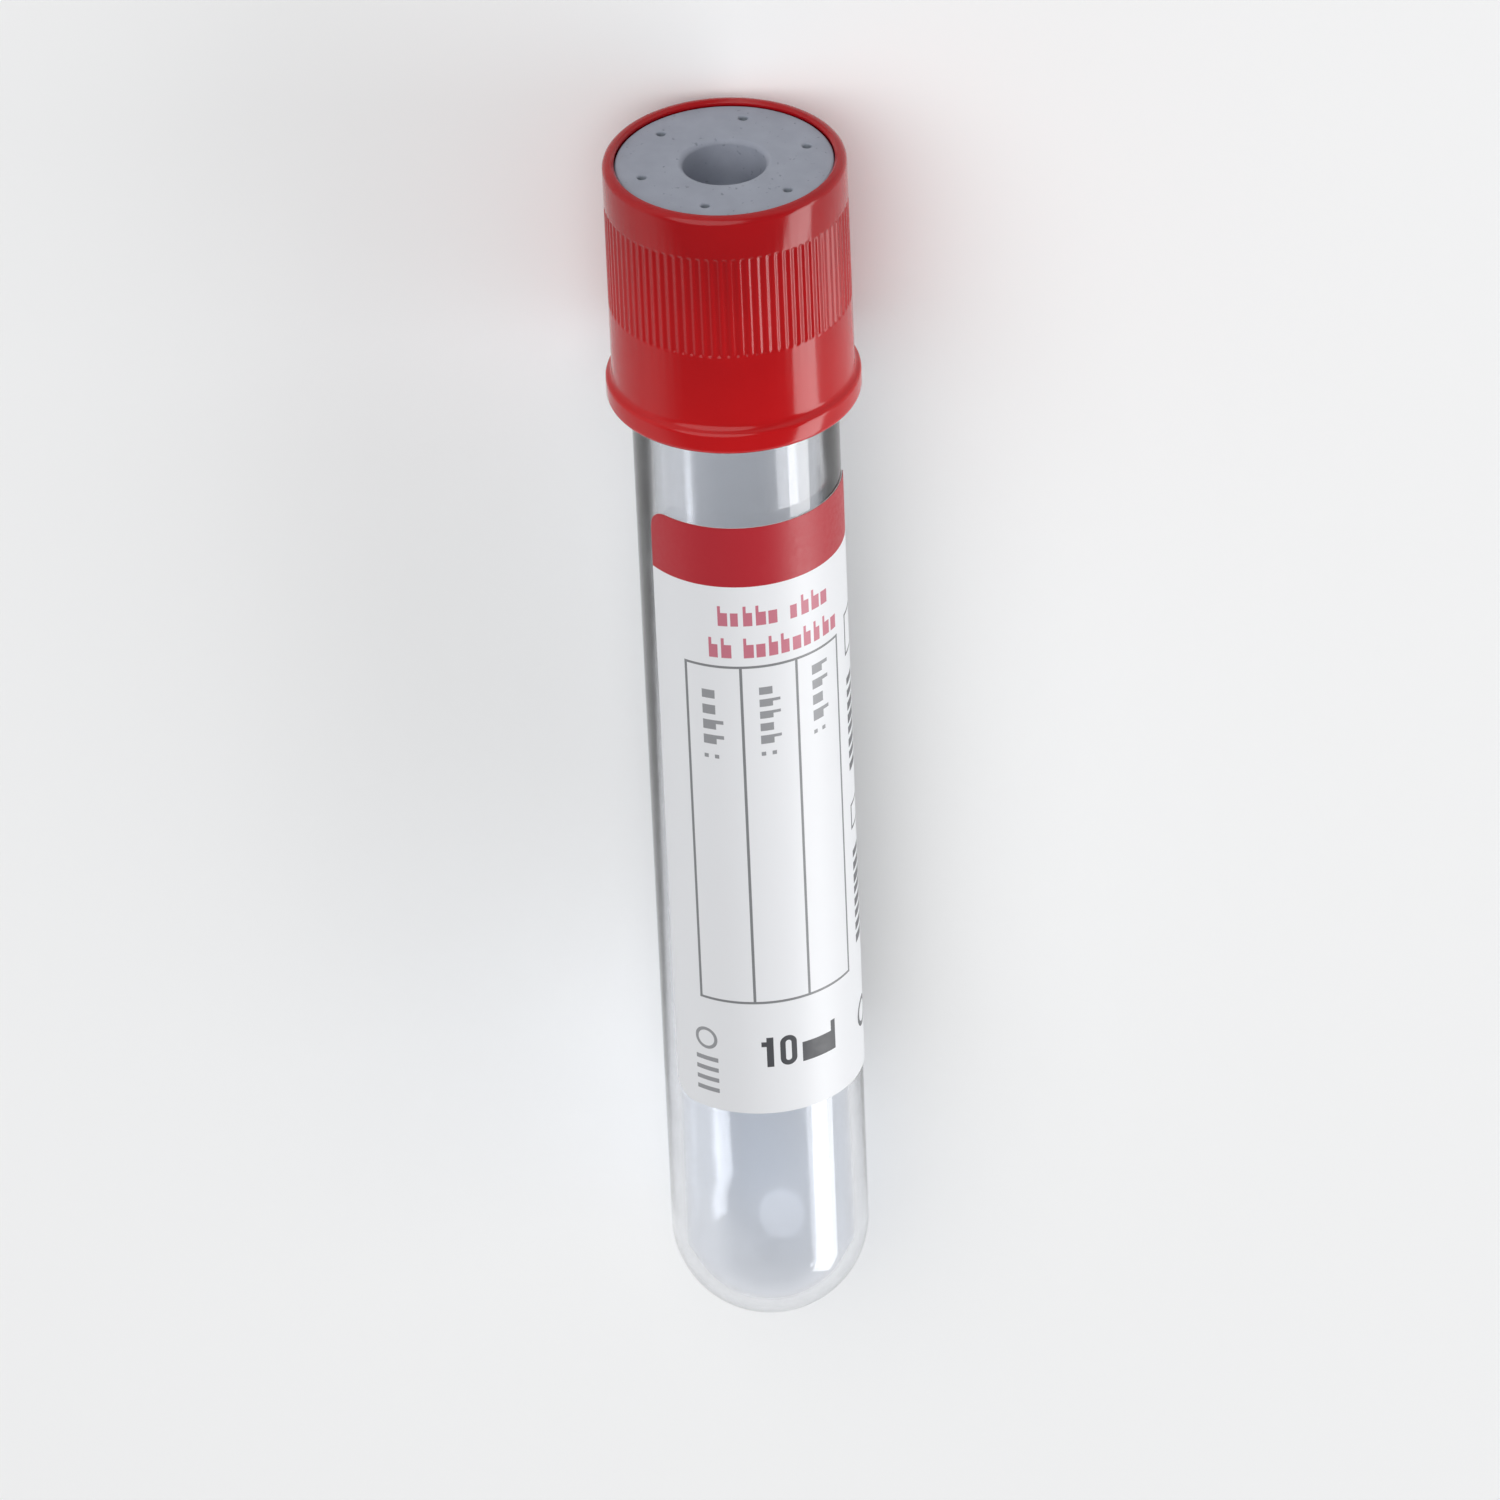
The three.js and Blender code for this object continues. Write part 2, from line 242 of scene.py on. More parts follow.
class Tree:
    """Shorthand for building the nodes of a material or the world."""

    def __init__(self, tree):
        self.tree = tree

    def add(self, kind, **settings):
        node = self.tree.nodes.new(kind)
        for key, value in settings.items():
            setattr(node, key, value)
        return node

    def feed(self, value, socket):
        if isinstance(value, bpy.types.NodeSocket):
            self.tree.links.new(value, socket)
        else:
            socket.default_value = value

    def maths(self, operation, *values):
        node = self.add("ShaderNodeMath", operation=operation)
        for value, socket in zip(values, node.inputs):
            self.feed(value, socket)
        return node.outputs[0]

    def remap(self, value, low, high, new_low, new_high):
        node = self.add("ShaderNodeMapRange")
        for given, name in zip((value, low, high, new_low, new_high),
                               ("Value", "From Min", "From Max", "To Min", "To Max")):
            self.feed(given, node.inputs[name])
        return node.outputs[0]

    def shade(self, share, first, second, output):
        """Leads two shaders to an output, the second one by the share given."""
        choice = self.add("ShaderNodeMixShader")
        for value, socket in zip((share, first, second), choice.inputs):
            self.feed(value, socket)
        self.feed(choice.outputs[0], output.inputs["Surface"])

    def background_ray(self):
        """1 for the rays that show the background: seen straight, mirrored or through the tube."""
        path = self.add("ShaderNodeLightPath")
        total = path.outputs[BACKGROUND_RAYS[0]]
        for name in BACKGROUND_RAYS[1:]:
            total = self.maths("MAXIMUM", total, path.outputs[name])
        return total


class Nodes(Tree):
    """The nodes of one new material, with places in the tube's own space."""

    def __init__(self, name):
        self.material = bpy.data.materials.new(name)
        self.material.use_nodes = True
        super().__init__(self.material.node_tree)
        self.shader = self.tree.nodes["Principled BSDF"]
        self.out = self.tree.nodes["Material Output"]
        lying = self.add("ShaderNodeMapping", vector_type="TEXTURE")
        lying.inputs["Location"].default_value = tube_foot
        lying.inputs["Rotation"].default_value = to_bench.to_euler()
        self.feed(self.add("ShaderNodeTexCoord").outputs["Object"], lying.inputs["Vector"])
        self.place = lying.outputs[0]

    def place_xyz(self):
        split = self.add("ShaderNodeSeparateXYZ")
        self.feed(self.place, split.inputs[0])
        return split.outputs

    def height_mm(self):
        return self.maths("DIVIDE", self.place_xyz()[2], MM)

    def length(self, x, y):
        square = self.maths("ADD", self.maths("MULTIPLY", x, x), self.maths("MULTIPLY", y, y))
        return self.maths("SQRT", square)

    def from_axis_mm(self):
        x, y, z = self.place_xyz()
        return self.maths("DIVIDE", self.length(x, y), MM)

    def drawn_out(self, z):
        """Places with z scaled, for marks that run along the tube."""
        node = self.add("ShaderNodeMapping")
        self.feed(self.place, node.inputs["Vector"])
        node.inputs["Scale"].default_value = (1, 1, z)
        return node.outputs[0]

    def noise(self, vector, scale, detail=3, roughness=0.5):
        node = self.add("ShaderNodeTexNoise")
        self.feed(vector, node.inputs["Vector"])
        node.inputs["Scale"].default_value = scale
        node.inputs["Detail"].default_value = detail
        node.inputs["Roughness"].default_value = roughness
        return node.outputs[0]

    def mix(self, share, first, second):
        node = self.add("ShaderNodeMix", data_type="RGBA")
        self.feed(share, node.inputs["Factor"])
        for value, at in ((first, MIX_FIRST), (second, MIX_SECOND)):
            is_socket = isinstance(value, bpy.types.NodeSocket)
            self.feed(value if is_socket else (*value, 1), node.inputs[at])
        return node.outputs[MIX_RESULT]

    def bump(self, height, distance_mm, under=None):
        node = self.add("ShaderNodeBump")
        self.feed(height, node.inputs["Height"])
        node.inputs["Distance"].default_value = distance_mm * MM
        if under is not None:
            self.feed(under, node.inputs["Normal"])
        return node.outputs[0]

    def set(self, **inputs):
        for name, value in inputs.items():
            is_colour = isinstance(value, tuple)
            self.feed((*value, 1) if is_colour else value, self.shader.inputs[name.replace("_", " ")])


# ---- Materials ---------------------------------------------------------------------------

PET_TINT = (0.85, 0.865, 0.895)
PET_SHADOW_TINT = (0.87, 0.885, 0.905, 1)
# Painted light: the red is darker at the top, where the rubber backs it, and lighter down the thin
# skirt, standing in for light glowing through it.
RED_PAINTED_SHADE_BACKED = (0.325, 0.0015, 0.004), (0.37, 0.0025, 0.005)
RED_PAINTED_LIGHT_SKIRT = (0.47, 0.003, 0.005), (0.52, 0.005, 0.007)
RED_GLOW_RADII = (1.0, 0.12, 0.08)  # how far red, green and blue light travel inside
RUBBER_GREY = (0.27, 0.29, 0.345), (0.32, 0.34, 0.4)
RUBBER_PIT = (0.21, 0.23, 0.27)
# Painted shade: a dark grey laid into the dimples and wherever the rubber sits below its top face.
RUBBER_PAINTED_DIMPLE_SHADE = (0.1, 0.12, 0.14)
DIMPLE_SHADE_TOP, DIMPLE_SHADE_BOTTOM = STOPPER_TOP - 0.05, STOPPER_TOP - 0.2
DIMPLE_SHADE = 0.75


def clear_pet():
    """Clear moulded PET: faint flow lines along the tube and a trace of haze. Its shadow is
    light, because the lamps shine through it."""
    n = Nodes("clear_pet")
    flow = n.noise(n.drawn_out(0.02), 900, detail=2)
    wave = n.noise(n.drawn_out(0.1), 140, detail=1)
    haze = n.noise(n.place, 260, detail=4)
    normal = n.bump(wave, 0.02, under=n.bump(flow, 0.003))
    n.set(Base_Color=PET_TINT, Transmission_Weight=1.0, IOR=1.57,
          Roughness=n.remap(haze, 0.35, 0.75, 0.05, 0.1), Normal=normal)
    shone_through = n.add("ShaderNodeBsdfTransparent")
    shone_through.inputs["Color"].default_value = PET_SHADOW_TINT
    to_lamp = n.add("ShaderNodeLightPath").outputs["Is Shadow Ray"]
    n.shade(to_lamp, n.shader.outputs[0], shone_through.outputs[0], n.out)
    return n.material


def red_plastic():
    """Glossy moulded plastic, with painted light in its colour: darker where the rubber backs it and
    brighter down the thin skirt, standing in for light glowing through the thin plastic.
    """
    n = Nodes("red_plastic")
    cloud = n.noise(n.place, 120, detail=3)
    drawn = n.noise(n.drawn_out(0.06), 1500, detail=2)
    grain = n.noise(n.place, 5200, detail=2)
    tone = n.remap(cloud, 0.3, 0.7, 0, 1)
    # painted light, from the dark top of the rib band to the lit foot of the skirt
    painted_skirt_light = n.remap(n.height_mm(), SHIELD_BOTTOM, RIB_BAND_TOP, 1, 0)
    colour = n.mix(painted_skirt_light, n.mix(tone, *RED_PAINTED_SHADE_BACKED), n.mix(tone, *RED_PAINTED_LIGHT_SKIRT))
    normal = n.bump(grain, 0.0015, under=n.bump(drawn, 0.003))
    n.set(Base_Color=colour, Roughness=n.remap(cloud, 0.3, 0.75, 0.12, 0.22), IOR=1.5,
          Normal=normal, Specular_IOR_Level=0.3, Subsurface_Weight=0.2, Subsurface_Scale=0.001)
    n.shader.inputs["Subsurface Radius"].default_value = RED_GLOW_RADII
    return n.material


def grey_rubber():
    """Matte bromobutyl rubber: fine grain, small pits and a dusty bloom, with painted shade darkening
    the dimples and the rubber below its top face, away from the well.
    """
    n = Nodes("grey_rubber")
    cloud = n.noise(n.place, 420, detail=4)
    grain = n.noise(n.place, 6500, detail=3)
    pit = n.remap(n.noise(n.place, 2300, detail=1), 0.7, 0.78, 0, 1)
    tone = n.mix(n.remap(cloud, 0.3, 0.7, 0, 1), *RUBBER_GREY)
    # painted shade, darker the deeper the rubber sits below the top face, except in and round the
    # well
    painted_dimple_shade = n.remap(n.height_mm(), DIMPLE_SHADE_TOP, DIMPLE_SHADE_BOTTOM, 0, DIMPLE_SHADE)
    past_well = n.maths("GREATER_THAN", n.from_axis_mm(), WELL_RADIUS + 2)
    tone = n.mix(n.maths("MULTIPLY", painted_dimple_shade, past_well), tone, RUBBER_PAINTED_DIMPLE_SHADE)
    normal = n.bump(n.maths("SUBTRACT", 1.0, pit), 0.03, under=n.bump(grain, 0.01))
    n.set(Base_Color=n.mix(pit, tone, RUBBER_PIT), Roughness=n.remap(cloud, 0.3, 0.7, 0.55, 0.72),
          Normal=normal)
    return n.material


# ---- Label print -------------------------------------------------------------------------

PAPER = (0.765, 0.775, 0.80)
# The back is painted lighter than the front paper, standing in for light that shines through the
# label.
PAPER_BACK_PAINTED_LIGHT = (0.84, 0.845, 0.85)
BAND_RED = (0.40, 0.008, 0.018)
RULE_GREY = (0.2, 0.205, 0.215)
HEADING_RED = (0.52, 0.16, 0.215)
SMALL_GREY = (0.28, 0.285, 0.3)
SERIAL_GREY = (0.1, 0.1, 0.11)
NUMBER_GREY = (0.06, 0.062, 0.07)

# Places on the label, in millimetres: across from its left edge, down from its top edge.
# A block is left, right, top, bottom. A ring is across, down, half width, half height, stroke.
BAND_HEIGHT = 5.3
BOX_LEFT, BOX_RIGHT = 3.15, 16.5
BOX_TOP, BOX_BOTTOM = 12.6, 43.6
BOX_COLUMNS = 3
RULE_WIDTH = 0.22
SQUARE_MARKS = ((18.2, 20.2, 11.8, 15.4), (18.2, 20.2, 29.3, 31.4))
SIDE_RING = (19.2, 49, 1.3, 1.3, 0.4)
SMALL_RING = (3.4, 47.5, 1.0, 1.0, 0.28)
SMALL_BAR_LEFT, SMALL_BAR_RIGHT, SMALL_BAR_HEIGHT = 2.4, 4.4, 0.4
SMALL_BAR_TOPS = (49.2, 50.15, 51.1, 52.05)
ONE_STEM, ONE_FLAG = (8.35, 8.9, 46.9, 49.65), (7.95, 8.35, 47.3, 47.75)
ZERO_RING = (10.1, 48.27, 0.68, 1.38, 0.44)
UNIT_BLOCKS = ((11.25, 14.4, 47.85, 49.65), (13.95, 14.4, 46.9, 49.65))

# Words are rows of blocks: the line that they stand on, where they start, how many blocks.
HEADING_WORDS = ((8.85, 6.0, 5), (8.85, 11.7, 4), (11.75, 5.2, 2), (11.75, 7.9, 9))
HEADING_PITCH = 0.98
HEADING_HEIGHTS, HEADING_SHARES, HEADING_SEED = (1.2, 1.8), (0.6, 0.82), 3
COLUMN_WORDS = ((4.45, 14.8, 4), (8.95, 14.5, 5), (13.45, 13.8, 4))
COLUMN_WORD_LENGTH = 5.5
COLUMN_HEIGHTS, COLUMN_SHARES, COLUMN_SEED = (1.05, 1.65), (0.56, 0.74), 20
COLON_GAP, COLON_RISE, COLON_DOT = 0.4, 0.85, 0.35
SERIAL_WORDS = ((18.2, 17.6, 8), (18.2, 33.5, 8))
SERIAL_PITCH = 1.12
SERIAL_HEIGHTS, SERIAL_SHARES, SERIAL_SEED = (1.9, 1.9), (0.55, 0.75), 40
STEM_SHARE = 0.24  # of the pitch
TALL_SCATTER, TALL_FROM = 7.3, 0.6  # which blocks have a stem


class LabelPrint:
    """Masks for the print, each 1 where there is ink."""

    def __init__(self, n):
        self.n = n
        x, y, z = n.place_xyz()
        turn = n.maths("ARCTAN2", n.maths("MULTIPLY", y, -1.0), n.maths("MULTIPLY", x, -1.0))
        from_middle = n.maths("MULTIPLY", n.maths("SUBTRACT", turn, LABEL_TURN), MOUTH_RADIUS)
        self.across = n.maths("ADD", from_middle, LABEL_WIDTH / 2)
        self.down = n.maths("SUBTRACT", LABEL_BOTTOM + LABEL_HEIGHT, n.maths("DIVIDE", z, MM))

    def both(self, first, second):
        return self.n.maths("MULTIPLY", first, second)

    def any_of(self, masks):
        total = masks[0]
        for mask in masks[1:]:
            total = self.n.maths("MAXIMUM", total, mask)
        return total

    def between(self, value, low, high):
        return self.n.maths("COMPARE", value, (low + high) / 2, (high - low) / 2)

    def block(self, left, right, top, bottom):
        return self.both(self.between(self.across, left, right), self.between(self.down, top, bottom))

    def outline(self, left, right, top, bottom):
        edge = RULE_WIDTH / 2
        return self.any_of([
            self.block(left - edge, left + edge, top, bottom),
            self.block(right - edge, right + edge, top, bottom),
            self.block(left - edge, right + edge, top - edge, top + edge),
            self.block(left - edge, right + edge, bottom - edge, bottom + edge),
        ])

    def ring(self, across, down, half_width, half_height, stroke):
        """A circle, or a tall ring with straight sides and round ends."""
        n = self.n
        x = n.maths("SUBTRACT", self.across, across)
        from_middle = n.maths("ABSOLUTE", n.maths("SUBTRACT", self.down, down))
        y = n.maths("MAXIMUM", n.maths("SUBTRACT", from_middle, half_height - half_width), 0.0)
        return self.between(n.length(x, y), half_width - stroke, half_width)

    def word(self, along, above, start, count, pitch, heights, shares, seed):
        """Blocks in a row where a word would stand, as uneven as letters are: some have a thin
        stem on top. above is the height over the line that they stand on, heights are a
        block's and a stem's, and shares are the least and most of the pitch that a block
        fills."""
        n = self.n
        step = n.maths("DIVIDE", n.maths("SUBTRACT", along, start), pitch)
        chance = n.add("ShaderNodeTexWhiteNoise", noise_dimensions="1D")
        n.feed(n.maths("ADD", n.maths("FLOOR", step), seed), chance.inputs["W"])
        value = chance.outputs["Value"]
        width = n.remap(value, 0, 1, *shares)
        scattered = n.maths("FRACT", n.maths("MULTIPLY", value, TALL_SCATTER))
        is_tall = n.maths("GREATER_THAN", scattered, TALL_FROM)
        low, tall = heights
        along_block = n.maths("FRACT", step)
        block = self.both(n.maths("LESS_THAN", along_block, width), self.between(above, 0, low))
        stem = self.both(n.maths("LESS_THAN", along_block, STEM_SHARE), self.between(above, 0, tall))
        inked = self.any_of([block, self.both(stem, is_tall)])
        return self.both(inked, self.between(along, start, start + count * pitch))

    def upright_words(self, words, pitches, heights, shares, first_seed):
        """Words that read down the label, turned a quarter from the headings."""
        return [
            self.word(self.down, self.n.maths("SUBTRACT", self.across, line), top, count, pitch,
                      heights, shares, seed)
            for seed, ((line, top, count), pitch) in enumerate(zip(words, pitches), start=first_seed)
        ]

    def rules(self):
        """The ruled box and the lines between its columns."""
        column = (BOX_RIGHT - BOX_LEFT) / BOX_COLUMNS
        edge = RULE_WIDTH / 2
        lines = [BOX_LEFT + i * column for i in range(1, BOX_COLUMNS)]
        return [
            self.outline(BOX_LEFT, BOX_RIGHT, BOX_TOP, BOX_BOTTOM),
            *(self.block(line - edge, line + edge, BOX_TOP, BOX_BOTTOM) for line in lines),
        ]

    def headings(self):
        return [
            self.word(self.across, self.n.maths("SUBTRACT", line, self.down), left, count,
                      HEADING_PITCH, HEADING_HEIGHTS, HEADING_SHARES, seed)
            for seed, (line, left, count) in enumerate(HEADING_WORDS, start=HEADING_SEED)
        ]

    def small(self):
        """A word and a colon at the top of each column, and a ring over bars below the box."""
        pitches = [COLUMN_WORD_LENGTH / count for line, top, count in COLUMN_WORDS]
        words = self.upright_words(COLUMN_WORDS, pitches, COLUMN_HEIGHTS, COLUMN_SHARES, COLUMN_SEED)
        colons = []
        for line, top, count in COLUMN_WORDS:
            dot_top = top + COLUMN_WORD_LENGTH + COLON_GAP
            for left in (line, line + COLON_RISE):
                colons.append(self.block(left, left + COLON_DOT, dot_top, dot_top + COLON_DOT))
        bars = [
            self.block(SMALL_BAR_LEFT, SMALL_BAR_RIGHT, top, top + SMALL_BAR_HEIGHT)
            for top in SMALL_BAR_TOPS
        ]
        return [*words, *colons, self.ring(*SMALL_RING), *bars]

    def serial(self):
        """Rows of blocks, open squares and a ring up the label's right side."""
        pitches = [SERIAL_PITCH] * len(SERIAL_WORDS)
        words = self.upright_words(SERIAL_WORDS, pitches, SERIAL_HEIGHTS, SERIAL_SHARES, SERIAL_SEED)
        return [*words, *(self.outline(*mark) for mark in SQUARE_MARKS), self.ring(*SIDE_RING)]

    def number(self):
        """The plain number 10, and blocks where its unit would be."""
        one = [self.block(*ONE_STEM), self.block(*ONE_FLAG)]
        return [*one, self.ring(*ZERO_RING), *(self.block(*place) for place in UNIT_BLOCKS)]


def label_paper():
    """Coated paper with its print: a red band, a ruled box, blocks where words would be, and
    the plain number 10. Its back, seen through the tube, is bare and painted lighter, for the light
    that would shine through the paper."""
    n = Nodes("label_paper")
    ink = LabelPrint(n)
    colour = n.mix(n.maths("LESS_THAN", ink.down, BAND_HEIGHT), PAPER, BAND_RED)
    for marks, tone in ((ink.rules(), RULE_GREY), (ink.headings(), HEADING_RED),
                        (ink.small(), SMALL_GREY), (ink.serial(), SERIAL_GREY),
                        (ink.number(), NUMBER_GREY)):
        colour = n.mix(ink.any_of(marks), colour, tone)
    middle = n.remap(n.height_mm(), FOOT_CENTRE, TUBE_LENGTH,
                     tube_radius_at(FOOT_CENTRE) + LABEL_MIDDLE,
                     tube_radius_at(TUBE_LENGTH) + LABEL_MIDDLE)
    is_front = n.maths("GREATER_THAN", n.from_axis_mm(), middle)
    fibre = n.noise(n.place, 2600, detail=4, roughness=0.6)
    # the back, seen through the tube, is painted lighter than the front
    n.set(Base_Color=n.mix(is_front, PAPER_BACK_PAINTED_LIGHT, colour),
          Roughness=n.remap(fibre, 0.3, 0.7, 0.38, 0.52), Normal=n.bump(fibre, 0.005))
    return n.material


# ---- Pieces ------------------------------------------------------------------------------

TUBE_SIDES = 256
STOPPER_SIDES = 480
SHIELD_SIDES = RIB_COUNT * 8


def make_tube():
    """From the gate up the outside to the rim, then down the inside."""
    rim = TUBE_RIM_ROUND
    inner = MOUTH_RADIUS - TUBE_WALL
    gate_edge = math.asin(GATE_RADIUS / FOOT_RADIUS)
    profile = [
        (0, FOOT_CENTRE - FOOT_RADIUS * math.cos(gate_edge)),
        *arc(0, FOOT_CENTRE, FOOT_RADIUS, math.degrees(gate_edge) - 90, 0, 40),
        *arc(MOUTH_RADIUS - rim, TUBE_LENGTH - rim, rim, 0, 90, 8),
        *arc(inner + rim, TUBE_LENGTH - rim, rim, 90, 180, 8),
        *arc(0, FOOT_CENTRE, FOOT_RADIUS - TUBE_WALL, 0, -90, 36)[:-1],
        (0, FOOT_CENTRE - FOOT_RADIUS + TUBE_WALL),
    ]
    vertices, faces = turned_mesh(profile, TUBE_SIDES, closed=False)
    piece = new_piece("clear_tube", vertices, faces, "tube", clear_pet(), sharp=60)
    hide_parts("tube_body")


def corner_cut(along):
    """How much shorter the label is at each end, this far along its width."""
    inside = min(along, LABEL_WIDTH - along, LABEL_CORNER)
    return LABEL_CORNER - math.sqrt(LABEL_CORNER ** 2 - (LABEL_CORNER - inside) ** 2)


def make_label():
    """A sheet bent round the tube, with rounded corners and two faces."""
    steps, rows = 160, 24
    column = rows + 1
    layer = (steps + 1) * column
    vertices = []
    for lift in (LABEL_GLUE, LABEL_GLUE + LABEL_THICKNESS):
        for along in np.linspace(0, 1, steps + 1) * LABEL_WIDTH:
            cut = corner_cut(along)
            angle = math.pi + LABEL_TURN + (along - LABEL_WIDTH / 2) / MOUTH_RADIUS
            for row in range(column):
                height = LABEL_BOTTOM + cut + (LABEL_HEIGHT - 2 * cut) * row / rows
                radius = tube_radius_at(height) + lift
                vertices.append((radius * math.cos(angle), radius * math.sin(angle), height))
    faces = []
    for i in range(steps):
        for j in range(rows):
            a = i * column + j
            b = a + column
            faces.append((a, a + 1, b + 1, b))
            faces.append((layer + a, layer + b, layer + b + 1, layer + a + 1))
    edge = [i * column for i in range(steps + 1)]
    edge += [steps * column + j for j in range(1, rows + 1)]
    edge += [i * column + rows for i in range(steps - 1, -1, -1)]
    edge += list(range(rows - 1, 0, -1))
    for a, b in zip(edge, edge[1:] + edge[:1]):
        faces.append((a, b, layer + b, layer + a))
    piece = new_piece("paper_label", vertices, faces, "tube", label_paper())
    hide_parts("label")


def ribs(angles, radii, heights):
    """Sinks rounded grooves between the ribs into the band, easing out at both ends of it."""
    if radii[0] < (SHIELD_RADIUS + SKIRT_MOUTH_RADIUS) / 2:
        return radii, heights
    from_end = min(heights[0] - RIB_BAND_BOTTOM, RIB_BAND_TOP - heights[0])
    fade = smooth(np.clip(from_end / RIB_EASE, 0, 1))
    phase = (angles * RIB_COUNT / TAU) % 1
    groove = smooth((1 + np.cos(TAU * (phase - 0.5))) / 2)
    return radii - RIB_DEPTH * fade * groove, heights


def shield_outside():
    """From the foot of the lip up to the top edge, with rings where the grooves ease in."""
    low, high = RIB_BAND_BOTTOM, RIB_BAND_TOP
    flare = LIP_FLARE_DEGREES
    fillet_rise = (LIP_SHOULDER_ROUND + LIP_FILLET) * math.sin(math.radians(flare))
    easing = (*np.arange(0, RIB_EASE, 0.06), RIB_EASE)
    edge = SHIELD_EDGE_ROUND
    return [
        *arc(LIP_RADIUS - LIP_ROUND, SHIELD_BOTTOM + LIP_ROUND, LIP_ROUND, -90, 0, 8),
        *arc(LIP_RADIUS - LIP_SHOULDER_ROUND, LIP_SHOULDER, LIP_SHOULDER_ROUND, 0, flare, 6),
        *arc(SHIELD_RADIUS + LIP_FILLET, LIP_SHOULDER + fillet_rise, LIP_FILLET,
             180 + flare, 180, 6)[1:],
        *((SHIELD_RADIUS, low + rise) for rise in easing),
        *((SHIELD_RADIUS, height) for height in np.linspace(low + 1, high - 1, 5)),
        *((SHIELD_RADIUS, high - drop) for drop in reversed(easing)),
        *arc(SHIELD_RADIUS - edge, SHIELD_TOP - edge, edge, 0, 90, 8),
    ]


def shield_inside():
    """From the top edge down past the pocket, the shelf and the collar to the skirt's mouth."""
    return eased([
        (POCKET_BEAD_RADIUS + RIM_CHAMFER, SHIELD_TOP, 0),
        (POCKET_BEAD_RADIUS, SHIELD_TOP - RIM_CHAMFER, 0.1),
        (POCKET_BEAD_RADIUS, STOPPER_TOP, 0.1),
        (POCKET_RADIUS, STOPPER_TOP - 0.3, 0.1),
        (POCKET_RADIUS, SHELF_TOP, 0.15),
        (SHELF_BORE_RADIUS, SHELF_TOP, 0.12),
        (SHELF_BORE_RADIUS, SHELF_BOTTOM, 0.12),
        (COLLAR_BORE_RADIUS, SHELF_BOTTOM, 0.15),
        (COLLAR_BORE_RADIUS, COLLAR_BOTTOM, 0.3),
        (SKIRT_BORE_RADIUS, SKIRT_TOP, 0.3),
        (SKIRT_BORE_RADIUS, SHIELD_BOTTOM + SKIRT_MOUTH_HEIGHT, 0.4),
        (SKIRT_MOUTH_RADIUS, SHIELD_BOTTOM, 0),
    ])


def make_shield():
    profile = [*shield_outside(), *shield_inside()]
    vertices, faces = turned_mesh(profile, SHIELD_SIDES, closed=True, relief=ribs)
    piece = new_piece("red_shield", vertices, faces, "closure", red_plastic())
    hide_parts("cap_shield")


def dimples(angles, radii, heights):
    """Sinks the six small dimples into the stopper's top face."""
    radius, height = radii[0], heights[0]
    if height != STOPPER_TOP or abs(radius - DIMPLE_CIRCLE) > DIMPLE_BAND + DIMPLE_RING_STEP:
        return radii, heights
    painted_dimple_shade = heights.copy()
    for i in range(DIMPLE_COUNT):
        turn = DIMPLE_TURN + i * TAU / DIMPLE_COUNT
        across = radius * np.cos(angles) - DIMPLE_CIRCLE * math.cos(turn)
        along = radius * np.sin(angles) - DIMPLE_CIRCLE * math.sin(turn)
        share = (DIMPLE_RADIUS - np.hypot(across, along)) / DIMPLE_WALL
        painted_dimple_shade -= DIMPLE_DEPTH * smooth(np.clip(share, 0, 1))
    return radii, painted_dimple_shade


def plug_profile():
    """From the top of the hollow down and round the plug's tip, then up past its beads."""
    hollow_top = PLUG_END + HOLLOW_DEPTH
    spread = PLUG_BEAD_SPREAD
    tip = eased([
        (0, hollow_top, 0),
        (HOLLOW_RADIUS - HOLLOW_DRAFT, hollow_top, HOLLOW_TOP_ROUND),
        (HOLLOW_RADIUS, PLUG_END + HOLLOW_MOUTH_HEIGHT, 0.1),
        (HOLLOW_MOUTH_RADIUS, PLUG_END, 0.2),
        (PLUG_TIP_RADIUS, PLUG_END, 0.3),
        (PLUG_RADIUS, PLUG_END + PLUG_TIP_HEIGHT, 0.4),
        (PLUG_RADIUS, PLUG_END + PLUG_TIP_HEIGHT + 0.3, 0),
    ])
    for depth in PLUG_BEAD_DEPTHS:
        tip += arc(PLUG_BEAD_CENTRE, TUBE_LENGTH - depth, PLUG_BEAD_ROUND, -spread, spread, 6)
    return tip


def flange_profile():
    """The seal on the tube's rim, the groove round the shield's shelf, and the flange."""
    groove_radius = SHELF_BORE_RADIUS - SEAT_GAP
    return eased([
        (PLUG_RADIUS, TUBE_LENGTH - 1, 0),
        (PLUG_RADIUS, TUBE_LENGTH + SEAT_GAP, 0.15),
        (SEAL_RADIUS, TUBE_LENGTH + SEAT_GAP, 0.2),
        (SEAL_RADIUS, SHELF_BOTTOM - SEAT_GAP, 0.2),
        (groove_radius, SHELF_BOTTOM - SEAT_GAP, 0.15),
        (groove_radius, SHELF_TOP + SEAT_GAP, 0.15),
        (FLANGE_RADIUS, SHELF_TOP + SEAT_GAP, 0.2),
        (FLANGE_RADIUS, STOPPER_TOP, 0.2),
        (SEAL_RADIUS, STOPPER_TOP, 0),
    ])


